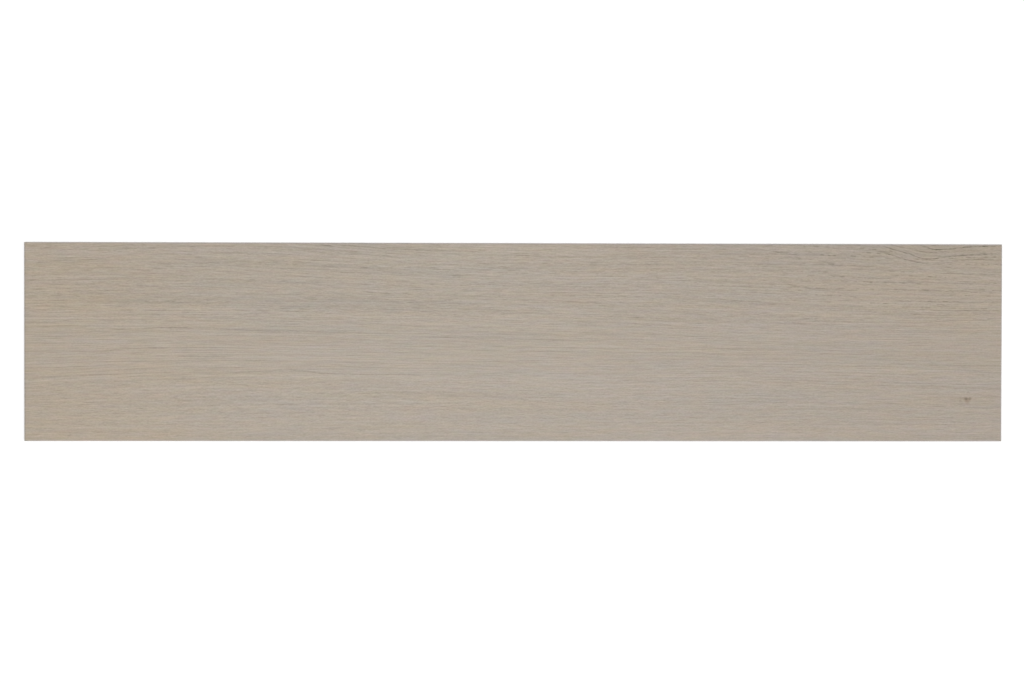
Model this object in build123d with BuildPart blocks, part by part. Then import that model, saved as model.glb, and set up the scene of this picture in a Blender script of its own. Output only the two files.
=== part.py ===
"""Glue-down vinyl floor plank, in the short format that is laid as herringbone.

The plank is one pressed sheet with a flat back and square punched sides. A micro-bevel is pressed
round all four sides of its wear face, mitred at the corners, with a rounded shoulder where the
wear face rolls over into it. Lengths are in millimetres.

The origin is the middle of the back, +X runs along the plank and +Z points out of the wear face.
"""

import os

from build123d import *

# Driving dimensions
length = 610.0  # along the grain
width = 123.5  # across the grain
thickness = 2.5  # from the back to the wear face
bevel_width = 0.8  # micro-bevel, as seen from above
bevel_depth = 0.4  # how far the micro-bevel drops at the punched side
shoulder_radius = 1.0  # rounding between the wear face and the micro-bevel


with BuildPart() as plank:
    # The sheet, punched square
    with BuildSketch(Plane.XY):
        Rectangle(length, width)
    extrude(amount=thickness)

    # The micro-bevel round the wear face, wider than it is deep
    wear_face = plank.faces().sort_by(Axis.Z)[-1]
    chamfer(wear_face.edges(), length=bevel_width, length2=bevel_depth, reference=wear_face)

    # The shoulder, rolled over by the press
    wear_face = plank.faces().sort_by(Axis.Z)[-1]
    fillet(wear_face.edges(), radius=shoulder_radius)

plank.part.label = "vinyl_plank"

os.makedirs("parts", exist_ok=True)
export_step(plank.part, "parts/vinyl_plank.step")
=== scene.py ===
"""Herringbone vinyl plank, seen from above on a white floor.

The plank is one mesh: a wear face with the wood grain pressed into it, a bevel and a rounded shoulder
round its four sides, punched sides and a plain back. One recipe of nodes gives the grain. It is built
twice, once to press the grain into the mesh and once to print it, so that relief and print line up.
"""

import math

import bpy
import numpy as np
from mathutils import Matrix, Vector


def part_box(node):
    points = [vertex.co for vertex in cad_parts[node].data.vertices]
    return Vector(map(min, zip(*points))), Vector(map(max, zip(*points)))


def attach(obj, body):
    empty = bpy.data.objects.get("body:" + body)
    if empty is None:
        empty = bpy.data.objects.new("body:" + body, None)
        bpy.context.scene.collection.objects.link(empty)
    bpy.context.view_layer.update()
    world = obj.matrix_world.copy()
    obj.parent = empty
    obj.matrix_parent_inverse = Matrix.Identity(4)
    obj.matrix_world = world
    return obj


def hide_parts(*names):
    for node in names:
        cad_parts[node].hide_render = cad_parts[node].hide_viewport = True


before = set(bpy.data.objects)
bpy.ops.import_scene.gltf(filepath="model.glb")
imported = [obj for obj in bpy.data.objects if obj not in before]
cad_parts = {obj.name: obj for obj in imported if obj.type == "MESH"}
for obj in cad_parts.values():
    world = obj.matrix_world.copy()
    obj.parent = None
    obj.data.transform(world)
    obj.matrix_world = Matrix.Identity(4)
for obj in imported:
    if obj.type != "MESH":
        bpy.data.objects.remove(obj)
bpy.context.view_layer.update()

MM = 0.001
NODE = "vinyl_plank"

# Size of the plank, from the frame, in metres
low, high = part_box(NODE)
HALF_LENGTH = (high.x - low.x) / 2
HALF_WIDTH = (high.y - low.y) / 2
THICKNESS = high.z

# Section of its edge, in metres
BEVEL_WIDTH = 0.8 * MM
BEVEL_DEPTH = 0.4 * MM
SHOULDER_RADIUS = 1.0 * MM
BACK_EDGE = 0.15 * MM  # how far the back's edge is rubbed off
RIM_LINES = 5  # grid lines over the shoulder
BEVEL_SHOWN = 0.1 * MM  # drop of the bevel at which its own print is complete
SHARP_ANGLE = 25.0  # degrees between faces, past which the edge stays sharp

# Kinds of faces, in the order of the mesh's materials
WEAR, SIDE, BACK = range(3)

# Grid of the wear face: fine across the grain, longer along it
CELLS_ALONG = 185
CELLS_ACROSS = 460
BACK_STEP_ALONG = 5  # the back has one grid line for so many of the wear face
BACK_STEP_ACROSS = 16
EMBOSS_START = 0.4 * MM  # distance in from the side where the pressed grain begins
EMBOSS_FULL = 2.0 * MM  # and where it reaches its full depth

# Depth of the pressed grain, in millimetres
PORE_DEPTH = 0.07
LINE_DEPTH = 0.06
FIBRE_DEPTH = 0.05
SWELL_DEPTH = 0.04
BUNDLE_TOP = 0.12  # level of a bundle of fibres over which nothing is pressed
BAND_TOP = 0.5  # and of a band

# How far the grain drifts across the plank on its way along it, in millimetres: for five lines across the
# plank, the line's own place, then points of place along the plank and drift
GRAIN_DRIFT = (
    (62, ((-305, -0.5), (-190, 1), (-60, -5), (20, -7), (110, -7), (225, -9), (245, -12.5),
          (264, -16), (285, -14), (305, -13))),
    (42, ((-305, 0), (-200, 0), (-130, -2), (20, -7.4), (110, -7.4), (225, -11), (305, -14.5))),
    (12, ((-305, 0), (-205, 0.8), (0, -3), (205, -9.8), (305, -10.5))),
    (-22, ((-305, 0), (-165, 4), (-60, 3.4), (50, 1.5), (150, 1.5), (305, -1))),
    (-50, ((-305, 0), (-215, -1.1), (-100, 0.7), (50, 1.6), (305, 1.3))),
)
DRIFT_RANGE = 50.0  # the drift's scale on its curves

# Noise: each field of it has its own stretch, so far from the one before
NOISE_STRIDE = 17.3
NOISE_ROUGHNESS = 0.55
ROW_STRIDE = 11.0
RUN_ROUGHNESS = 0.9
RUN_GAP = 1.37  # left between the runs of two rows, in waves

# Rows of fibres
ROW_UNEVENNESS = 0.5  # how much they differ in width
ROW_UNEVENNESS_SCALE = 0.37  # how fast their width changes from row to row
ROW_BLEND = (0.15, 0.85)  # part of a row over which it runs into the next
ROW_CRISPNESS = 0.15  # share of its neighbours that is taken from a row

# Dashes, in millimetres: width, and levels of the noise between which a dash and a group of dashes begin
DASH_WIDTH = 0.6
DASH_LEVELS = (-0.05, 0.16)
DASH_DETAIL = 1.5
GROUP_LEVELS = (-0.08, 0.06)
GROUP_LENGTH = 14  # in dashes

# The growth lines that stand out, in millimetres: strength, then points of place along and across
GROWTH_LINES = (
    (1.15, ((227, 61.8), (231, 60.3), (241, 57.3), (248, 55.4), (254, 53), (259, 52.5), (267, 53.4),
            (275, 54.4), (283, 55.1), (306, 55.8))),
    (1.05, ((224, 57.6), (231, 56.3), (238, 54.2), (243, 52.6), (250, 50.8), (262, 49.3))),
    (0.6, ((250, 50.8), (260, 49.4), (271, 50.3), (278, 51.7), (285, 52.3), (306, 52.7))),
    (1.05, ((250, 62), (254, 60.9), (259, 59.6), (262, 58.6), (268, 58.5), (277, 59.4), (283, 60.1),
            (306, 60.6))),
    (0.7, ((261, 57), (268, 57.1), (274, 58))),
    (0.45, ((-252, 7.5), (-242, 7.9), (-213, 8.9), (-192, 8.9), (-173, 7.6), (-158, 7), (-140, 6.8),
            (-116, 6.3))),
    (0.9, ((-220, 8.7), (-213, 8.9), (-199, 8.9))),
    (0.6, ((-150, 6.9), (-130, 6.6))),
    (0.4, ((-122, 5.9), (-104, 5.9), (-75, 5.2), (-62, 5.3), (-42, 4.2), (-20, 3.7), (4, 3.4))),
    (0.5, ((-258, -5.9), (-232, -3.9), (-204, -3.6), (-178, -3.6))),
    (0.35, ((-190, -3.4), (-165, -4.3), (-148, -4.7), (-135, -5.2))),
    (0.45, ((-242, -8.1), (-226, -7.7))),
    (0.6, ((-212, -9.1), (-174, -9.2))),
    (0.5, ((-180, -19), (-153, -18), (-134, -17.9), (-119, -19.4), (-60, -20))),
    (0.35, ((-192, 15.2), (-168, 14.5))),
    (0.35, ((-110, -12.6), (-71, -13.4), (-37, -14), (-8, -15.5))),
    (0.42, ((-245, 57.5), (-227, 58.5), (-215, 59.1), (-155, 59.4), (-131, 58.1), (-119, 57), (-107, 56.2),
            (-92, 54.8))),
    (0.55, ((-124, 60), (-105, 60), (-95, 59.5), (-83, 58.4), (-71, 57.8), (-47, 57))),
    (0.35, ((-54, 57.2), (-23, 56.3), (20, 54.9))),
    (0.3, ((14, 57.9), (42, 58.4), (72, 59.3))),
    (0.3, ((24, 53.7), (70, 53.9), (84, 54.3))),
    (0.5, ((-68, 25.1), (-50, 25.5), (-36, 27.1))),
    (0.4, ((24, 25.8), (52, 24.5))),
    (0.35, ((54, 16.5), (104, 14.6))),
    (0.45, ((71, -31.9), (90, -32.3))),
)

# Rows of dashes that stand out, in the same form
DASHED_LINES = (
    (0.55, ((147, 59), (177, 54.8))),
    (0.45, ((165, 53.4), (182, 52.5), (204, 47.9))),
    (0.45, ((183, 47.2), (207, 40.8))),
    (0.5, ((165, 38.3), (182, 34.1), (201, 31.5), (218, 26.5))),
    (0.65, ((170, 35), (217, 32.4))),
    (0.7, ((229, 33.7), (283, 32.3), (306, 31.8))),
    (0.7, ((234, 26.6), (284, 25.4), (306, 25))),
    (0.65, ((192, 42.3), (222, 40.8), (246, 40.2), (278, 39.6))),
    (0.65, ((263, 43.6), (283, 43.5), (306, 42.6))),
    (0.65, ((216, 38.5), (234, 37.9), (270, 37.7), (300, 36.4))),
    (0.65, ((132, 48.9), (186, 48.9), (226, 47.7))),
    (0.6, ((180, 44.8), (204, 44.4))),
    (0.65, ((204, 46.5), (222, 45.9), (252, 44.5))),
    (0.85, ((250, 20.8), (270, 20.4), (308, 20.4))),
    (0.45, ((118, 26.7), (138, 26.2), (168, 24.3))),
    (0.65, ((290, 48.5), (306, 49.6))),
    (0.5, ((-302, 22.4), (-270, 21.4))),
    (0.5, ((-302, 25.4), (-277, 25.4))),
    (0.45, ((-306, 11.5), (-288, 12.3), (-268, 14.6))),
    (0.5, ((-298, -1.3), (-262, -0.8))),
    (0.4, ((-296, 52.2), (-244, 52.4))),
    (0.35, ((-304, 59), (-285, 57.6), (-256, 56.4))),
    (0.4, ((-256, 19.4), (-194, 19.5))),
    (0.35, ((-266, 25), (-200, 24.6))),
    (0.5, ((-104, 33), (-89, 30.9), (-61, 30.3))),
    (0.5, ((-24, 46.5), (22, 45))),
    (0.4, ((28, 48.6), (94, 48.7))),
)

# Broad soft streaks, in millimetres: how much they darken, or lighten where it is below 0, their half width,
# then points along and across
SHADES = (
    (0.07, 4.0, ((-310, 48), (-200, 48.5), (-20, 42))),
    (0.11, 7.5, ((-310, 26.5), (-170, 26), (-25, 24))),
    (0.05, 3.0, ((-310, 3), (-190, 7.5), (110, -1))),
    (0.04, 6.0, ((-310, 6), (-140, 6))),
    (-0.07, 3.5, ((-160, -21), (-60, -22.5), (60, -23))),
    (-0.05, 8.0, ((-110, -11), (70, -15))),
    (-0.06, 7.0, ((-60, 46), (20, 43), (150, 36))),
    (0.07, 3.5, ((60, 29), (160, 25), (290, 14))),
    (-0.04, 9.0, ((215, 40), (345, 34))),
    (0.05, 2.5, ((60, 4), (150, 1), (240, -2))),
    (0.04, 6.0, ((60, -8), (270, -8))),
    (0.06, 6.0, ((70, -36), (250, -35))),
    (0.07, 4.0, ((255, -36), (284, -36.5), (306, -38))),
    (-0.04, 9.0, ((60, -55), (320, -55))),
    (0.03, 5.0, ((-220, 56), (-90, 55))),
    (-0.08, 8.0, ((-350, 55), (-240, 57))),
    (-0.08, 8.0, ((-70, 57), (80, 55))),
    (-0.05, 6.0, ((-350, 40), (-250, 40))),
    (-0.09, 9.0, ((262, 14), (345, 12))),
    (-0.05, 7.0, ((262, 24), (345, 23))),
    (0.06, 6.0, ((262, -60), (345, -60))),
    (0.05, 6.0, ((40, 21), (150, 20))),
    (0.04, 6.0, ((-220, 37), (-90, 36))),
    (-0.04, 7.0, ((-90, -25), (40, -26))),
    (0.06, 8.0, ((40, 58), (320, 58))),
)
LINE_HALF_WIDTH = 0.55
LINE_FADE = 7.0  # length over which a line's ends fade
SHADE_FADE = 40.0
PATH_RANGE = 2.2 * HALF_WIDTH / MM  # the scale of the lines' and streaks' curves

# Gaps in the lines: the waves of the noise that makes them, its levels at a gap and at a line, and how
# much of the line is left in a gap
GROWTH_WAVES = (2.4, 1.5)
GROWTH_LEVELS = (-0.1, 0.08)
GROWTH_LEFT = (0.7, 0.6)  # to the left and right of the next places along
GROWTH_LEFT_X = (150, 220)
END_LEFT = 0.6  # times so much past the next places along
END_LEFT_X = (266, 274)
DASHED_WAVES = (5, 1.5)
DASHED_LEVELS = (-0.12, 0.08)
DASHED_LEFT = 0.4
LINE_RIPPLE = 0.7  # how far the lines follow the ripple of the fibres
LINE_RAGGED = 0.45  # and how ragged they are, in millimetres

# Zones of the wear face, as the places in millimetres between which each one begins or ends
UPPER_Y = (0, 25)
LOWER_Y = (-41, -15)  # the strip along the front
LOWER_END_X = (40, 150)
LOWER_AT_RIGHT = 0.25  # what is left of it past its end
CORNER_X = (120, 240)  # the upper right corner
CORNER_Y = (5, 35)
MIDDLE_FRONT_Y = (-30, -12)  # the band through the middle of the left half
MIDDLE_REAR_Y = (4, 18)
MIDDLE_END_X = (20, 110)
MIDDLE_AT_RIGHT = 0.25

# How the fibres wander across the straightened grain, in millimetres: the waves' length and width, and
# their height
SWAY_WAVES = (160, 25)
SWAY_HEIGHT = 1.4
RIPPLE_WAVES = (22, 6)
RIPPLE_HEIGHT = (0.15, 0.06)  # over most of the face, and in the lower strip

# Fibres, in millimetres: width of a row, length of its light and dark stretches, and their detail. Their
# strength is given over most of the face, then what the middle band and the lower strip add to it
SHORT_FIBRES = (0.58, 14, 3.0)
SHORT_STRENGTH = (0.67, -0.27, 0.2)
LONG_FIBRES = (0.64, 145, 4.0)
LONG_STRENGTH = (0.82, 0.15, -0.36)
STEADY_FIBRES = (0.8, 600)
STEADY_STRENGTH = 0.13
DARK_FIBRES = 0.5  # how much more the dark ones stand out than the light ones
BUNDLES = (1.1, 400, 2.0)
BANDS = (260, 4, 1.0)  # length and width of the waves, and their detail

# Pores, in millimetres: distance of their rows and length of a dash
CLOSE_PORES = (1.35, 10.0)
CLOSE_STRENGTH = (0.25, 0.3)  # over the whole face, and added over the upper half
CLEAR_PORES = (2.3, 6.0)
CLEAR_IN_CORNER = 0.9
CLEAR_IN_UPPER = 0.3
LONG_LINES = (1.5, 150)  # thin dark lines: distance and length
LONG_LINE_LEVELS = (0.16, 0.34)
LONG_LINE_OUTSIDE = 0.4  # strength outside the middle band

# The dark fleck by the right end, in millimetres: a wedge, and dark spots with their strength and half size
WEDGE_TOP = (283.4, -34.4)
WEDGE_LENGTH = 5.0
WEDGE_HALF_WIDTH = (2.8, 1.4)  # at its top and at its end
WEDGE_SIDE_FADE = (0.1, 1.2)  # in half widths
WEDGE_TOP_FADE = (-0.6, 0.8)
WEDGE_END_FADE = 1.8  # from here to its end
FLECK_SPOTS = (
    (0.9, (282.6, -35.0), (1.7, 1.2)),
    (0.8, (285.1, -34.9), (1.4, 1.2)),
    (0.4, (280.4, -34.9), (2.8, 0.9)),
    (0.35, (279.1, -36.5), (1.2, 1.1)),
    (0.45, (284.0, -31.1), (1.5, 0.9)),
    (0.3, (280.6, -31.1), (2.2, 0.8)),
)

# Colours of the print, the sides and the back, linear
PRINT_DARK = (0.2828, 0.2443, 0.1901)
PRINT_LIGHT = (0.5054, 0.4292, 0.3554)
SIDE_COLOUR = (0.36, 0.34, 0.31)
BACK_COLOUR = (0.30, 0.29, 0.28)
BLACK = (0, 0, 0)

# The print's tone, 0 at its dark colour and 1 at its light one: the plain level, the fibres' part over most
# of the face with what the upper half and the lower strip add to it, the parts of the other marks, and
# painted light on the bevels
TONE_LEVEL = 0.553
FIBRE_TONE = (1.36, 0.04, -0.17)
MARK_TONES = (
    ("pore", -0.44),
    ("long", -0.08),
    ("line", -0.66),
    ("wedge", -0.45),
    ("spots", -0.6),
    ("bundle", 0.26),
    ("band", 0.07),
)
REAR_TONE = -0.06  # towards the rear, over the next places across
REAR_TONE_Y = (-10, 60)
# Painted light: the bevels' print is made lighter, by these shares on the front and rear bevels and on the
# right end's, in place of the light the lamps leave off them
BEVEL_PAINTED_LIGHT = (0.5, 0.3)  # on the front and the rear bevel
BEVEL_PAINTED_LIGHT_Y = (-20, 20)
BEVEL_PAINTED_LIGHT_LEFT_X = (-304, -302)  # the left end's bevel has none of it
BEVEL_PAINTED_LIGHT_RIGHT_X = (302, 304)
BEVEL_PAINTED_LIGHT_AT_RIGHT = 0.6  # and the right end's this share

# Patches of colour, in millimetres: the waves' length and width, with their detail, and how strong they are
WARM_PATCHES = (((150, 16), 1.6), ((60, 7, 1.0), 2.7), ((12, 2.5), 2.6))
PINK_PATCHES = (((100, 10), 0.5), ((24, 3.5, 1.0), 1.2), ((5, 1.5), 1.4))
SPECKLES = (1.2, 0.8, 1.0)

# Where the print is beige, below 0 grey, and where it is pink: how much, and the places between which that
# changes
LEFT_WARMTH = (1.5, 0.0)
LEFT_WARMTH_X = (-300, -130)
RIGHT_WARMTH = (0.0, 0.8)
RIGHT_WARMTH_X = (150, 300)
RIGHT_WARMTH_SHARE = (0.2, 1.0)  # of it, at the front and at the rear
RIGHT_WARMTH_Y = (-50, 30)
FRONT_WARMTH = (-0.5, 0.0)
FRONT_WARMTH_Y = (-30, 10)
FRONT_WARMTH_X = (-60, 60)
BEVEL_WARMTH = -3.4
RIGHT_PINK = (0.0, 0.12)
RIGHT_PINK_X = (20, 150)

# The share by which one unit of each raises red, green and blue
WARM_TINT = (0.016, 0.0, -0.03)
PINK_TINT = (0.02, -0.02, 0.02)
SPECKLE_TINT = (0.18, 0.18, 0.18)
WEDGE_TINT = (0.05, -0.03, -0.05)

# The coat: roughness, what pores and fibres add to it, gloss, and fine bumps in metres
COAT_ROUGHNESS = 0.5
PORE_ROUGHNESS = 0.14
FIBRE_ROUGHNESS = -0.08
COAT_GLOSS = 0.42
COAT_WAVES = (2.2, 0.5)
COAT_BUMP = 0.03 * MM

# Sides and back: roughness, gloss, waves of their marks in millimetres, levels between which a grain of
# filler begins, and parts of the tone
SIDE_ROUGHNESS = 0.6
SIDE_GLOSS = 0.3
DIE_MARKS = (0.35, 4.0, 2.0)
SIDE_GRAINS = (0.25, 0.25)
SIDE_GRAIN_LEVELS = (0.14, 0.26)
SIDE_TONE = 0.92
DIE_MARK_TONE = 0.22
SIDE_GRAIN_TONE = 0.10
SIDE_BUMP = 0.06 * MM
BACK_ROUGHNESS = 0.65
BACK_GLOSS = 0.3
WEAVE_PITCH = 0.9
CLOUDS = (30, 18, 3.0)
BACK_GRAINS = (0.8, 0.8)
BACK_GRAIN_LEVELS = (0.15, 0.27)
BACK_TONE = 1.0
CLOUD_TONE = 0.25
BACK_GRAIN_TONE = 0.08
WEAVE_TONE = 0.02
CLOUD_BUMP = 0.5  # against the weave's
BACK_BUMP = 0.04 * MM

# The photograph's camera: lens and place in millimetres, turn in degrees
LENS = 85.0
CAMERA_PLACE = (-43.69, 20.22, 1509.82)
CAMERA_TURN = (-0.7527, -1.5723, 0.1071)

# Light: even light from all round, a softbox high over the plank and a weak lamp from the right, in metres
WORLD_LIGHT = 0.38
SOFTBOX_PLACE = (-0.086, -0.133, 1.95)
SOFTBOX_SIZE = (0.9, 0.6)
SOFTBOX_POWER = 17.0
SIDE_LAMP_FROM = (0.8, 0.0, 1.0)
SIDE_LAMP_STRENGTH = 0.45
SIDE_LAMP_SPREAD = 25.0  # degrees

# The floor, in metres: half its size, how far it lies under the back, its white, and what it glows by
FLOOR_HALF = 12.0
FLOOR_DROP = 0.1 * MM
FLOOR_WHITE = 0.88
FLOOR_GLOW = 0.3


class Nodes:
    """Adds nodes to a shader tree or a geometry tree. An input is a number or another node's output."""

    def __init__(self, tree):
        self.tree = tree
        self.seed = 0

    def add(self, kind, inputs=(), **settings):
        """A new node of a kind, with its inputs by name or number, and its settings."""
        node = self.tree.nodes.new(kind)
        for name, value in settings.items():
            setattr(node, name, value)
        for key, value in dict(inputs).items():
            if isinstance(value, bpy.types.NodeSocket):
                self.tree.links.new(value, node.inputs[key])
            else:
                node.inputs[key].default_value = value
        return node

    def math(self, operation, *values):
        return self.add("ShaderNodeMath", enumerate(values), operation=operation).outputs[0]

    def total(self, first, *others):
        """All the values added up."""
        for other in others:
            first = self.math("ADD", first, other)
        return first

    def times(self, first, *others):
        """All the values multiplied."""
        for other in others:
            first = self.math("MULTIPLY", first, other)
        return first

    def vector(self, x, y):
        return self.add("ShaderNodeCombineXYZ", {0: x, 1: y}).outputs[0]

    def step(self, value, start, end, first=0.0, last=1.0):
        """Runs smoothly from first to last as the value goes from start to end."""
        inputs = enumerate((value, start, end, first, last))
        return self.add("ShaderNodeMapRange", inputs, interpolation_type="SMOOTHSTEP", clamp=False).outputs[0]

    def noise(self, x, y, along, across, detail=0.0):
        """Noise about 0 whose waves are about so long along and across the grain, in millimetres."""
        self.seed += 1
        start = NOISE_STRIDE * self.seed
        place = self.vector(self.math("DIVIDE", x, along), self.math("MULTIPLY_ADD", y, 1 / across, start))
        inputs = {"Vector": place, "Scale": 1.0, "Detail": detail, "Roughness": NOISE_ROUGHNESS}
        node = self.add("ShaderNodeTexNoise", inputs, noise_dimensions="2D")
        return self.math("SUBTRACT", node.outputs[0], 0.5)

    def row_at(self, y, pitch):
        """The row of fibres that a place lies in, and how far through it. Rows differ in width."""
        self.seed += 1
        place = self.math("DIVIDE", y, pitch)
        inputs = {"W": place, "Scale": ROW_UNEVENNESS_SCALE, "Detail": 0.0}
        widths = self.add("ShaderNodeTexNoise", inputs, noise_dimensions="1D")
        place = self.math("MULTIPLY_ADD", widths.outputs[0], ROW_UNEVENNESS, place)
        row = self.math("FLOOR", place)
        return self.total(row, ROW_STRIDE * self.seed), self.math("SUBTRACT", place, row)

    def run(self, x, row, along, detail=0.0):
        """Noise about 0 along a row, with waves about so long. No two rows share a stretch of it."""
        stride = math.ceil(2 * HALF_LENGTH / MM / along) + RUN_GAP
        start = self.math("MULTIPLY_ADD", row, stride, self.math("DIVIDE", x, along))
        inputs = {"W": start, "Scale": 1.0, "Detail": detail, "Roughness": RUN_ROUGHNESS}
        noise = self.add("ShaderNodeTexNoise", inputs, noise_dimensions="1D")
        return self.math("SUBTRACT", noise.outputs[0], 0.5)

    def rows(self, x, y, pitch, along, detail=0.0, crisp=0.0):
        """Noise about 0 in thin rows along the grain, each with its own run of light and dark.

        Where crisp is over 0, so much of each row's neighbours is taken from it.
        """
        row, through = self.row_at(y, pitch)
        near = range(-1, 3) if crisp else range(2)
        values = [self.run(x, self.total(row, k), along, detail) for k in near]
        if crisp:
            beside = [self.total(values[i - 1], values[i + 1]) for i in (1, 2)]
            values = [self.math("MULTIPLY_ADD", b, -crisp, v) for b, v in zip(beside, values[1:3])]
        share = self.step(through, *ROW_BLEND)
        return self.total(values[0], self.times(self.math("SUBTRACT", values[1], values[0]), share))

    def dashes(self, x, y, pitch, length):
        """Thin dashes about so long, one behind the other in rows, 1 in the middle of a dash."""
        row, through = self.row_at(y, pitch)
        off = self.math("ABSOLUTE", self.math("SUBTRACT", through, 0.5))
        thin = self.step(off, 0.0, DASH_WIDTH / pitch, 1.0, 0.0)
        dash = self.step(self.run(x, row, length, DASH_DETAIL), *DASH_LEVELS)
        group = self.step(self.run(x, self.total(row, 0.5), GROUP_LENGTH * length), *GROUP_LEVELS)
        return self.times(thin, dash, group)

    def curve(self, x, points, scale):
        """A smooth curve through points of place along and value, or a straight line through two."""
        if len(points) == 2:
            (start, first), (end, last) = points
            slope = (last - first) / (end - start)
            return self.math("MULTIPLY_ADD", x, slope, first - slope * start)
        node = self.add("ShaderNodeFloatCurve", {"Value": self.along(x)})
        length = 2 * HALF_LENGTH / MM
        shape = node.mapping.curves[0]
        places = [(place / length + 0.5, value / scale + 0.5) for place, value in points]
        for place in places[1:-1]:
            shape.points.new(*place)
        shape.points[0].location = places[0]
        shape.points[len(shape.points) - 1].location = places[-1]
        node.mapping.update()
        return self.math("MULTIPLY", self.math("SUBTRACT", node.outputs[0], 0.5), scale)

    def along(self, x):
        """Place along the plank, from 0 at its left end to 1 at its right end."""
        return self.math("MULTIPLY_ADD", x, MM / (2 * HALF_LENGTH), 0.5)

    def in_zones(self, strengths, *zones):
        """The first strength, with each of the others added where its zone is 1."""
        first, *added = strengths
        return self.total(first, *(self.times(zone, more) for zone, more in zip(zones, added)))


def grain_place(n, x, y):
    """Place across the plank in the straightened grain."""
    places = [place for place, _ in GRAIN_DRIFT]
    curves = [n.curve(x, points, DRIFT_RANGE) for _, points in GRAIN_DRIFT]
    drift = curves[0]
    for i in range(1, len(places)):
        share = n.step(y, places[i], places[i - 1])
        drift = n.total(curves[i], n.times(share, n.math("SUBTRACT", drift, curves[i])))
    return n.math("SUBTRACT", y, drift)


def grain_lines(n, x, y, lines):
    """The lines of a table, 1 in the middle of a line of full strength."""
    found = None
    for strength, points in lines:
        path = n.curve(x, points, PATH_RANGE)
        off = n.math("ABSOLUTE", n.math("SUBTRACT", y, path))
        line = n.step(off, 0.0, LINE_HALF_WIDTH, strength, 0.0)
        start, end = points[0][0], points[-1][0]
        line = n.times(line, n.step(x, start, start + LINE_FADE), n.step(x, end - LINE_FADE, end, 1.0, 0.0))
        found = line if found is None else n.math("MAXIMUM", found, line)
    return found


def shades(n, x, y):
    """The broad soft streaks, as what they take from the print's tone."""
    parts = []
    for depth, half_width, points in SHADES:
        path = n.curve(x, points, PATH_RANGE)
        off = n.math("ABSOLUTE", n.math("SUBTRACT", y, path))
        start, end = points[0][0], points[-1][0]
        ends = n.times(n.step(x, start, start + SHADE_FADE), n.step(x, end - SHADE_FADE, end, 1.0, 0.0))
        parts.append(n.times(n.step(off, 0.0, half_width, depth, 0.0), ends))
    return n.total(*parts)


def spot(n, x, y, place, half_size):
    """A soft round mark, 1 in its middle."""
    offs = [
        n.math("DIVIDE", n.math("SUBTRACT", value, middle), half)
        for value, middle, half in zip((x, y), place, half_size)
    ]
    return n.step(n.total(*(n.times(off, off) for off in offs)), 0.0, 1.0, 1.0, 0.0)


def fleck(n, x, y):
    """The small fleck by the right end, up to 1: its reddish wedge and its dark spots."""
    down = n.math("SUBTRACT", WEDGE_TOP[1], y)
    half = n.step(down, 0.0, WEDGE_LENGTH, *WEDGE_HALF_WIDTH)
    right = n.math("ABSOLUTE", n.math("SUBTRACT", x, WEDGE_TOP[0]))
    wedge = n.step(n.math("DIVIDE", right, half), *WEDGE_SIDE_FADE, 1.0, 0.0)
    top = n.step(down, *WEDGE_TOP_FADE)
    end = n.step(down, WEDGE_END_FADE, WEDGE_LENGTH, 1.0, 0.0)
    wedge = n.times(wedge, top, end)
    spots = None
    for strength, place, half_size in FLECK_SPOTS:
        mark = n.times(spot(n, x, y, place, half_size), strength)
        spots = mark if spots is None else n.math("MAXIMUM", spots, mark)
    return wedge, spots


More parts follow.
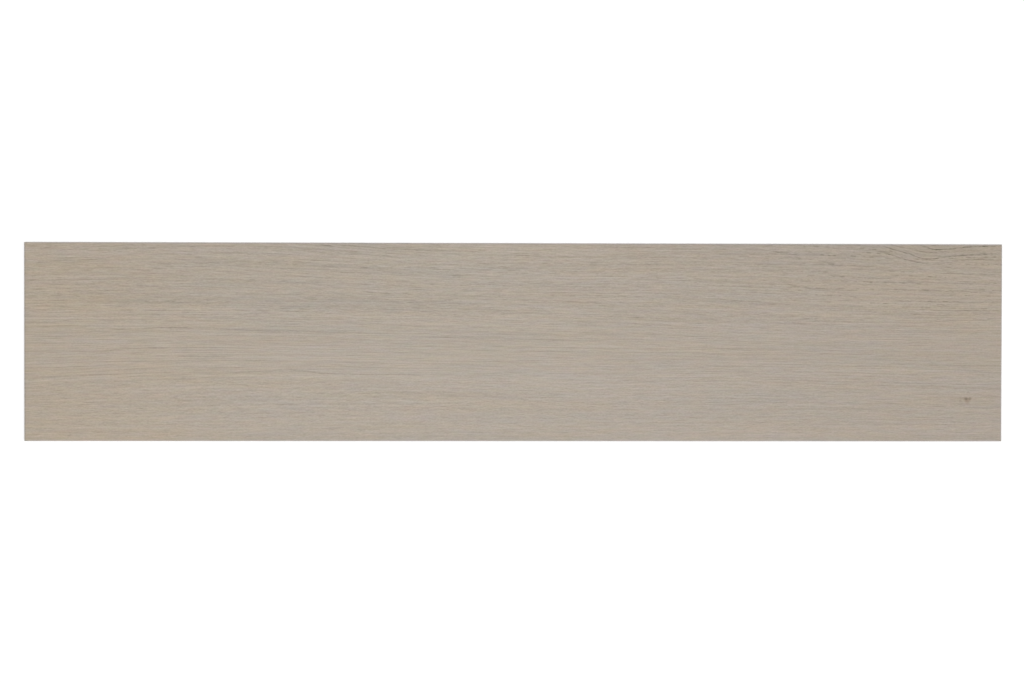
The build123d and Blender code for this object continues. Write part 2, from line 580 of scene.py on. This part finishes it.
def grain(n, x, y):
    """The grain at a place on the wear face, in millimetres: fields that the relief and the print share."""
    straight = grain_place(n, x, y)
    sway = n.times(n.noise(x, y, *SWAY_WAVES), SWAY_HEIGHT)
    upper = n.step(y, *UPPER_Y)
    lower = n.times(n.step(y, *LOWER_Y, 1.0, 0.0), n.step(x, *LOWER_END_X, 1.0, LOWER_AT_RIGHT))
    ripple = n.times(n.noise(x, y, *RIPPLE_WAVES), n.step(lower, 0, 1, *RIPPLE_HEIGHT))
    across = n.total(straight, sway, ripple)
    corner = n.times(n.step(x, *CORNER_X), n.step(y, *CORNER_Y))
    middle = n.times(
        n.step(y, *MIDDLE_FRONT_Y),
        n.step(y, *MIDDLE_REAR_Y, 1.0, 0.0),
        n.step(x, *MIDDLE_END_X, 1.0, MIDDLE_AT_RIGHT),
    )

    # Long fibres run through the middle of the left half, short ones along the front
    short = n.rows(x, across, *SHORT_FIBRES, crisp=ROW_CRISPNESS)
    long = n.rows(x, across, *LONG_FIBRES, crisp=ROW_CRISPNESS)
    steady = n.rows(x, across, *STEADY_FIBRES, crisp=ROW_CRISPNESS)
    fibre = n.total(
        n.times(short, n.in_zones(SHORT_STRENGTH, middle, lower)),
        n.times(long, n.in_zones(LONG_STRENGTH, middle, lower)),
        n.times(steady, STEADY_STRENGTH),
    )
    fibre = n.math("SUBTRACT", fibre, n.times(fibre, fibre, DARK_FIBRES))

    # Pores are thin dashes: close together over the upper half, in clear rows in its right corner
    level = n.total(straight, sway)
    close = n.times(n.dashes(x, level, *CLOSE_PORES), n.in_zones(CLOSE_STRENGTH, upper))
    clear_strength = n.total(n.times(corner, CLEAR_IN_CORNER), n.times(upper, CLEAR_IN_UPPER))
    clear = n.times(n.dashes(x, level, *CLEAR_PORES), clear_strength)
    pore = n.math("MAXIMUM", close, clear)
    long_line = n.step(n.rows(x, level, *LONG_LINES), *LONG_LINE_LEVELS)
    long_line = n.times(long_line, n.step(middle, 0, 1, LONG_LINE_OUTSIDE, 1.0))

    # Growth lines have shallow gaps, rows of dashes deeper ones
    left = n.times(n.step(x, *GROWTH_LEFT_X, *GROWTH_LEFT), n.step(x, *END_LEFT_X, 1.0, END_LEFT))
    ragged = n.noise(x, across, *GROWTH_WAVES)
    broken = n.step(ragged, *GROWTH_LEVELS, left, 1.0)
    dashed = n.step(n.noise(x, across, *DASHED_WAVES), *DASHED_LEVELS, DASHED_LEFT, 1.0)
    wavy = n.total(y, n.times(ripple, LINE_RIPPLE), n.times(ragged, LINE_RAGGED))
    line = n.math(
        "MAXIMUM",
        n.times(grain_lines(n, x, wavy, GROWTH_LINES), broken),
        n.times(grain_lines(n, x, wavy, DASHED_LINES), dashed),
    )
    wedge, spots = fleck(n, x, y)
    return {
        "fibre": fibre,
        "pore": pore,
        "long": long_line,
        "line": line,
        "wedge": wedge,
        "spots": spots,
        "bundle": n.rows(x, level, *BUNDLES),
        "band": n.noise(x, across, *BANDS),
        "upper": upper,
        "lower": lower,
    }


def rim():
    """Distances in from the side of the grid lines over the bevel and the shoulder."""
    angle = math.atan2(BEVEL_DEPTH, BEVEL_WIDTH)
    tangent = SHOULDER_RADIUS * math.tan(angle / 2)
    shoulder_start = BEVEL_WIDTH - tangent * math.cos(angle)
    shoulder_end = BEVEL_WIDTH + tangent
    return np.concatenate([[0.0, shoulder_start / 2], np.linspace(shoulder_start, shoulder_end, RIM_LINES)])


def wear_height(inset):
    """Height of the unpressed wear face at a distance in from the side."""
    lines = rim()
    shoulder_start, shoulder_end = lines[2], lines[-1]
    on_bevel = THICKNESS - BEVEL_DEPTH + inset * BEVEL_DEPTH / BEVEL_WIDTH
    reach = np.clip(shoulder_end - inset, 0, SHOULDER_RADIUS)
    on_shoulder = THICKNESS - SHOULDER_RADIUS + np.sqrt(SHOULDER_RADIUS**2 - reach**2)
    return np.where(inset < shoulder_start, on_bevel, on_shoulder)


def grid_lines(half, cells):
    """Places of the grid lines from one side to the other."""
    edge = rim()
    inner = np.linspace(edge[-1] - half, half - edge[-1], cells + 1)
    return np.concatenate([edge[:-1] - half, inner, half - edge[-2::-1]])


def wear_cells(count_x, count_y):
    """Faces of the wear face's grid. Cells on a corner's mitre are cut along it."""
    mitre_cells = len(rim()) - 1
    faces = []
    for i in range(count_x - 1):
        for j in range(count_y - 1):
            a, b = i * count_y + j, (i + 1) * count_y + j
            from_end = min(i, count_x - 2 - i)
            from_side = min(j, count_y - 2 - j)
            if from_end != from_side or from_end >= mitre_cells:
                faces.append((a, b, b + 1, a + 1))
            elif (i == from_end) == (j == from_side):
                faces += [(a, b, b + 1), (a, b + 1, a + 1)]
            else:
                faces += [(a, b, a + 1), (b, b + 1, a + 1)]
    return faces


def coarse(count, step):
    """Numbers of the grid lines that the back shares with the wear face."""
    return [0, *range(step, count - step, step), count - 1]


def plank_mesh():
    """The unpressed plank: a closed mesh, and how much each vertex is pressed and bevelled."""
    xs = grid_lines(HALF_LENGTH, CELLS_ALONG)
    ys = grid_lines(HALF_WIDTH, CELLS_ACROSS)
    inset = np.minimum((HALF_LENGTH - abs(xs))[:, None], (HALF_WIDTH - abs(ys))[None, :])
    top = np.stack([*np.meshgrid(xs, ys, indexing="ij"), wear_height(inset)], axis=-1).reshape(-1, 3)
    faces = wear_cells(len(xs), len(ys))
    kinds = [WEAR] * len(faces)

    # The back's grid, and a ring just above its edge
    pick_x, pick_y = coarse(len(xs), BACK_STEP_ALONG), coarse(len(ys), BACK_STEP_ACROSS)
    back_x = np.clip(xs[pick_x], BACK_EDGE - HALF_LENGTH, HALF_LENGTH - BACK_EDGE)
    back_y = np.clip(ys[pick_y], BACK_EDGE - HALF_WIDTH, HALF_WIDTH - BACK_EDGE)
    flat = np.zeros((len(pick_x), len(pick_y)))
    back = np.stack([*np.meshgrid(back_x, back_y, indexing="ij"), flat], axis=-1)
    first_back = len(top)
    last_x, last_y = len(pick_x) - 1, len(pick_y) - 1
    ring = [(i, 0) for i in range(last_x)] + [(last_x, j) for j in range(last_y)]
    ring += [(i, last_y) for i in range(last_x, 0, -1)] + [(0, j) for j in range(last_y, 0, -1)]
    skirt = [(xs[pick_x[i]], ys[pick_y[j]], BACK_EDGE) for i, j in ring]
    first_skirt = first_back + back.shape[0] * back.shape[1]

    def back_number(i, j):
        return first_back + i * len(pick_y) + j

    for i in range(last_x):
        for j in range(last_y):
            corners = ((i, j), (i, j + 1), (i + 1, j + 1), (i + 1, j))
            faces.append(tuple(back_number(*corner) for corner in corners))
            kinds.append(BACK)

    # The sides: each stretch of the ring takes up the wear face's finer outline in two fans
    for k, (i, j) in enumerate(ring):
        after = (k + 1) % len(ring)
        next_i, next_j = ring[after]
        start = np.array([pick_x[i], pick_y[j]])
        way = np.array([pick_x[next_i], pick_y[next_j]]) - start
        count = abs(way).max()
        outline = [int((start + way * t // count) @ [len(ys), 1]) for t in range(count + 1)]
        here, there = first_skirt + k, first_skirt + after
        middle = count // 2
        made = [(here, outline[t + 1], outline[t]) for t in range(middle)]
        made.append((here, there, outline[middle]))
        made += [(there, outline[t + 1], outline[t]) for t in range(middle, count)]
        made.append((back_number(i, j), back_number(next_i, next_j), there, here))
        faces += made
        kinds += [SIDE] * len(made)

    places = np.concatenate([top, back.reshape(-1, 3), skirt])
    mesh = bpy.data.meshes.new("plank")
    mesh.from_pydata(places.tolist(), [], faces)
    mesh.polygons.foreach_set("material_index", kinds)

    emboss = np.zeros(len(places), np.float32)
    pressed = np.clip((inset.ravel() - EMBOSS_START) / (EMBOSS_FULL - EMBOSS_START), 0, 1)
    emboss[: len(top)] = pressed * pressed * (3 - 2 * pressed)
    mesh.attributes.new("emboss", "FLOAT", "POINT").data.foreach_set("value", emboss)
    bevel = np.zeros(len(places), np.float32)
    bevel[: len(top)] = np.clip((THICKNESS - wear_height(inset.ravel())) / BEVEL_SHOWN, 0, 1)
    mesh.attributes.new("bevel", "FLOAT", "POINT").data.foreach_set("value", bevel)
    return mesh


def lay_out_map(mesh):
    """The map that the print is baked through: the wear face large, back and sides in strips below it."""
    count = len(mesh.loops)
    vertex = np.zeros(count, np.int32)
    mesh.loops.foreach_get("vertex_index", vertex)
    places = np.zeros(len(mesh.vertices) * 3, np.float32)
    mesh.vertices.foreach_get("co", places)
    corner = places.reshape(-1, 3)[vertex]
    corners = np.zeros(len(mesh.polygons), np.int32)
    mesh.polygons.foreach_get("loop_total", corners)
    kinds = np.zeros(len(mesh.polygons), np.int32)
    mesh.polygons.foreach_get("material_index", kinds)
    normals = np.zeros(len(mesh.polygons) * 3, np.float32)
    mesh.polygons.foreach_get("normal", normals)
    kind = np.repeat(kinds, corners)
    normal = np.repeat(normals.reshape(-1, 3), corners, axis=0)

    along = corner[:, 0] / (2 * HALF_LENGTH) + 0.5
    across = corner[:, 1] / (2 * HALF_WIDTH) + 0.5
    up = corner[:, 2] / THICKNESS
    faces_end = abs(normal[:, 0]) > abs(normal[:, 1])
    side = kind == SIDE
    # Which corners, where they lie in their strip, and the strip's box on the map
    strips = (
        (kind == WEAR, along, across, (0.002, 0.205, 0.998, 0.998)),
        (kind == BACK, along, across, (0.002, 0.060, 0.998, 0.195)),
        (side & ~faces_end & (normal[:, 1] < 0), along, up, (0.002, 0.002, 0.998, 0.012)),
        (side & ~faces_end & (normal[:, 1] > 0), along, up, (0.002, 0.016, 0.998, 0.026)),
        (side & faces_end & (normal[:, 0] < 0), across, up, (0.002, 0.030, 0.498, 0.040)),
        (side & faces_end & (normal[:, 0] > 0), across, up, (0.502, 0.030, 0.998, 0.040)),
    )
    uv = np.zeros((count, 2), np.float32)
    for chosen, u, v, (left, bottom, right, top) in strips:
        uv[chosen, 0] = left + (right - left) * u[chosen]
        uv[chosen, 1] = bottom + (top - bottom) * v[chosen]
    mesh.uv_layers.new(name="OFBake").uv.foreach_set("vector", uv.ravel())


def press_grain(piece):
    """Presses the grain into the wear face, downwards only, and keeps the result as the piece's mesh."""
    tree = bpy.data.node_groups.new("press_grain", "GeometryNodeTree")
    tree.interface.new_socket("Geometry", in_out="INPUT", socket_type="NodeSocketGeometry")
    tree.interface.new_socket("Geometry", in_out="OUTPUT", socket_type="NodeSocketGeometry")
    n = Nodes(tree)
    place = n.add("ShaderNodeSeparateXYZ", {0: n.add("GeometryNodeInputPosition").outputs[0]})
    x, y = (n.math("DIVIDE", place.outputs[i], MM) for i in (0, 1))
    g = grain(n, x, y)
    depth = n.total(
        n.times(g["pore"], PORE_DEPTH),
        n.times(n.math("MAXIMUM", g["line"], g["long"]), LINE_DEPTH),
        n.times(n.math("MAXIMUM", n.math("SUBTRACT", BUNDLE_TOP, g["bundle"]), 0.0), FIBRE_DEPTH),
        n.times(n.math("SUBTRACT", BAND_TOP, g["band"]), SWELL_DEPTH),
    )
    emboss = n.add("GeometryNodeInputNamedAttribute", {"Name": "emboss"}, data_type="FLOAT").outputs[0]
    drop = n.times(n.math("MAXIMUM", depth, 0.0), emboss, -MM)
    move = n.add("ShaderNodeCombineXYZ", {2: drop}).outputs[0]
    source = n.add("NodeGroupInput").outputs[0]
    pressed = n.add("GeometryNodeSetPosition", {"Geometry": source, "Offset": move}).outputs[0]
    n.add("NodeGroupOutput", {0: pressed})

    piece.modifiers.new("press_grain", "NODES").node_group = tree
    graph = bpy.context.evaluated_depsgraph_get()
    shaped = bpy.data.meshes.new_from_object(
        piece.evaluated_get(graph), preserve_all_data_layers=True, depsgraph=graph
    )
    plain = piece.data
    piece.modifiers.clear()
    piece.data = shaped
    shaped.name = plain.name
    bpy.data.meshes.remove(plain)
    bpy.data.node_groups.remove(tree)


def new_material(name, roughness, specular):
    """A material with its shader, ready for nodes on its colour, roughness and normal."""
    material = bpy.data.materials.new(name)
    material.use_nodes = True
    shader = material.node_tree.nodes["Principled BSDF"]
    shader.inputs["Roughness"].default_value = roughness
    shader.inputs["Specular IOR Level"].default_value = specular
    n = Nodes(material.node_tree)
    place = n.add("ShaderNodeSeparateXYZ", {0: n.add("ShaderNodeTexCoord").outputs["Object"]})
    x, y, z = (n.math("DIVIDE", place.outputs[i], MM) for i in range(3))
    return material, shader, n, (x, y, z)


def colour_between(n, share, first, last):
    """The colour that lies so far from the first to the last."""
    span = [b - a for a, b in zip(first, last)]
    inputs = {0: share, 1: span, 2: first}
    return n.add("ShaderNodeVectorMath", inputs, operation="MULTIPLY_ADD").outputs[0]


def tinted(n, colour, share, tint):
    """The colour, with each channel raised by its part of the tint times the share."""
    factor = n.add("ShaderNodeVectorMath", {0: share, 1: tint, 2: (1, 1, 1)}, operation="MULTIPLY_ADD")
    return n.add("ShaderNodeVectorMath", {0: colour, 1: factor.outputs[0]}, operation="MULTIPLY").outputs[0]


def patches(n, x, y, table):
    """Soft patches about 0, the sum of a table's waves."""
    return n.total(*(n.times(n.noise(x, y, *waves), strength) for waves, strength in table))


def bump(n, shader, height, distance):
    """Fine bumps on a shader, so high in metres for a height of 1."""
    node = n.add("ShaderNodeBump", {"Strength": 1.0, "Distance": distance, "Height": height})
    n.tree.links.new(node.outputs[0], shader.inputs["Normal"])


def print_material():
    """The printed wear face under its matt coat."""
    material, shader, n, (x, y, z) = new_material("wood_grain_print", COAT_ROUGHNESS, COAT_GLOSS)
    g = grain(n, x, y)
    bevel = n.add("ShaderNodeAttribute", attribute_name="bevel").outputs["Fac"]
    contrast = n.in_zones(FIBRE_TONE, g["upper"], g["lower"])
    tone = n.total(
        TONE_LEVEL,
        n.times(g["fibre"], contrast),
        *(n.times(g[mark], share) for mark, share in MARK_TONES),
        n.times(shades(n, x, y), -1.0),
        n.step(y, *REAR_TONE_Y, 0.0, REAR_TONE),
        # Painted light on the bevels: their print is made lighter, none at the left end, most at the right
        # end and the front
        n.times(
            bevel,
            n.step(x, *BEVEL_PAINTED_LIGHT_LEFT_X),
            n.step(x, *BEVEL_PAINTED_LIGHT_RIGHT_X, 1.0, BEVEL_PAINTED_LIGHT_AT_RIGHT),
            n.step(y, *BEVEL_PAINTED_LIGHT_Y, *BEVEL_PAINTED_LIGHT),
        ),
    )
    colour = colour_between(n, tone, PRINT_DARK, PRINT_LIGHT)

    # Beige towards the ends, patches of beige and grey between, and a greyer bevel
    left_end = n.step(x, *LEFT_WARMTH_X, *LEFT_WARMTH)
    right_end = n.step(x, *RIGHT_WARMTH_X, *RIGHT_WARMTH)
    ends = n.total(left_end, n.times(right_end, n.step(y, *RIGHT_WARMTH_Y, *RIGHT_WARMTH_SHARE)))
    warm = patches(n, x, y, WARM_PATCHES)
    pink = n.total(n.step(x, *RIGHT_PINK_X, *RIGHT_PINK), patches(n, x, y, PINK_PATCHES))
    front = n.times(n.step(y, *FRONT_WARMTH_Y, *FRONT_WARMTH), n.step(x, *FRONT_WARMTH_X))
    warmth = n.total(ends, front, warm, n.times(bevel, BEVEL_WARMTH))
    speckle = n.noise(x, y, *SPECKLES)
    colour = tinted(n, colour, warmth, WARM_TINT)
    colour = tinted(n, colour, pink, PINK_TINT)
    colour = tinted(n, colour, speckle, SPECKLE_TINT)
    colour = tinted(n, colour, g["wedge"], WEDGE_TINT)
    n.tree.links.new(colour, shader.inputs["Base Color"])

    rough = n.total(COAT_ROUGHNESS, n.times(g["pore"], PORE_ROUGHNESS), n.times(g["fibre"], FIBRE_ROUGHNESS))
    n.tree.links.new(rough, shader.inputs["Roughness"])
    bump(n, shader, n.total(g["fibre"], n.noise(x, y, *COAT_WAVES)), COAT_BUMP)
    return material


def side_material():
    """Punched filled vinyl: fine upright marks of the die and pale grains of filler."""
    material, shader, n, (x, y, z) = new_material("punched_vinyl", SIDE_ROUGHNESS, SIDE_GLOSS)
    round_about = n.total(x, y)
    marks = n.noise(round_about, z, *DIE_MARKS)
    grains = n.step(n.noise(round_about, z, *SIDE_GRAINS), *SIDE_GRAIN_LEVELS)
    tone = n.total(SIDE_TONE, n.times(marks, DIE_MARK_TONE), n.times(grains, SIDE_GRAIN_TONE))
    colour = colour_between(n, tone, BLACK, SIDE_COLOUR)
    n.tree.links.new(colour, shader.inputs["Base Color"])
    bump(n, shader, marks, SIDE_BUMP)
    return material


def back_material():
    """The plain back: filled vinyl with the fine linen texture of the calender roll."""
    material, shader, n, (x, y, z) = new_material("calendered_back", BACK_ROUGHNESS, BACK_GLOSS)
    threads = [n.math("SINE", n.times(place, 2 * math.pi / WEAVE_PITCH)) for place in (x, y)]
    weave = n.times(*threads)
    cloud = n.noise(x, y, *CLOUDS)
    grains = n.step(n.noise(x, y, *BACK_GRAINS), *BACK_GRAIN_LEVELS)
    tone = n.total(
        BACK_TONE,
        n.times(cloud, CLOUD_TONE),
        n.times(grains, BACK_GRAIN_TONE),
        n.times(weave, WEAVE_TONE),
    )
    colour = colour_between(n, tone, BLACK, BACK_COLOUR)
    n.tree.links.new(colour, shader.inputs["Base Color"])
    bump(n, shader, n.total(weave, n.times(cloud, CLOUD_BUMP)), BACK_BUMP)
    return material


def make_plank():
    """The plank with its materials and its pressed grain, in place of the CAD node."""
    mesh = plank_mesh()
    mesh.polygons.foreach_set("use_smooth", [True] * len(mesh.polygons))
    mesh.set_sharp_from_angle(angle=math.radians(SHARP_ANGLE))
    lay_out_map(mesh)
    for material in (print_material(), side_material(), back_material()):
        mesh.materials.append(material)
    piece = bpy.data.objects.new("plank", mesh)
    bpy.context.scene.collection.objects.link(piece)
    press_grain(piece)
    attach(piece, "root")
    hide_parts(NODE)


def seen_directly(n):
    """1 for what the camera sees straight, in a mirror or through glass, else 0."""
    path = n.add("ShaderNodeLightPath")
    rays = [path.outputs[name] for name in ("Is Camera Ray", "Is Glossy Ray", "Is Transmission Ray")]
    return n.math("MINIMUM", n.total(*rays), 1.0)


def make_floor():
    """A white floor that keeps the plank's shadow. Where it is seen, it glows by what it lacks of white."""
    signs = ((-1, -1), (1, -1), (1, 1), (-1, 1))
    corners = [(FLOOR_HALF * x, FLOOR_HALF * y, 0) for x, y in signs]
    mesh = bpy.data.meshes.new("floor")
    mesh.from_pydata(corners, [], [(0, 1, 2, 3)])
    material = bpy.data.materials.new("white_floor")
    material.use_nodes = True
    n = Nodes(material.node_tree)
    n.tree.nodes.remove(n.tree.nodes["Principled BSDF"])
    paint = n.add("ShaderNodeBsdfDiffuse", {"Color": (FLOOR_WHITE, FLOOR_WHITE, FLOOR_WHITE, 1)}).outputs[0]
    lift = n.add("ShaderNodeEmission", {"Strength": n.times(seen_directly(n), FLOOR_GLOW)}).outputs[0]
    both = n.add("ShaderNodeAddShader", {0: paint, 1: lift}).outputs[0]
    n.tree.links.new(both, n.tree.nodes["Material Output"].inputs["Surface"])
    mesh.materials.append(material)
    floor = bpy.data.objects.new("floor", mesh)
    floor.location.z = -FLOOR_DROP
    bpy.context.scene.collection.objects.link(floor)


def make_light():
    """Even light from all round, white where it is seen, and two lamps."""
    world = bpy.data.worlds.new("studio")
    world.use_nodes = True
    bpy.context.scene.world = world
    n = Nodes(world.node_tree)
    background = n.tree.nodes["Background"]
    background.inputs["Color"].default_value = (1, 1, 1, 1)
    strength = n.math("MULTIPLY_ADD", seen_directly(n), 1 - WORLD_LIGHT, WORLD_LIGHT)
    n.tree.links.new(strength, background.inputs["Strength"])

    softbox = bpy.data.lights.new("softbox", "AREA")
    softbox.shape = "RECTANGLE"
    softbox.size, softbox.size_y = SOFTBOX_SIZE
    softbox.energy = SOFTBOX_POWER
    side_lamp = bpy.data.lights.new("side_lamp", "SUN")
    side_lamp.energy = SIDE_LAMP_STRENGTH
    side_lamp.angle = math.radians(SIDE_LAMP_SPREAD)
    for lamp, place in ((softbox, SOFTBOX_PLACE), (side_lamp, SIDE_LAMP_FROM)):
        holder = bpy.data.objects.new(lamp.name, lamp)
        holder.location = place
        holder.rotation_euler = (-Vector(place)).to_track_quat("-Z", "Y").to_euler()
        bpy.context.scene.collection.objects.link(holder)


def make_camera():
    """A camera where the photograph's was."""
    data = bpy.data.cameras.new("camera")
    data.lens = LENS
    camera = bpy.data.objects.new("camera", data)
    camera.location = [a * MM for a in CAMERA_PLACE]
    camera.rotation_euler = [math.radians(a) for a in CAMERA_TURN]
    bpy.context.scene.collection.objects.link(camera)
    bpy.context.scene.camera = camera


make_plank()
make_floor()
make_light()
make_camera()
bpy.context.scene.view_settings.view_transform = "Standard"
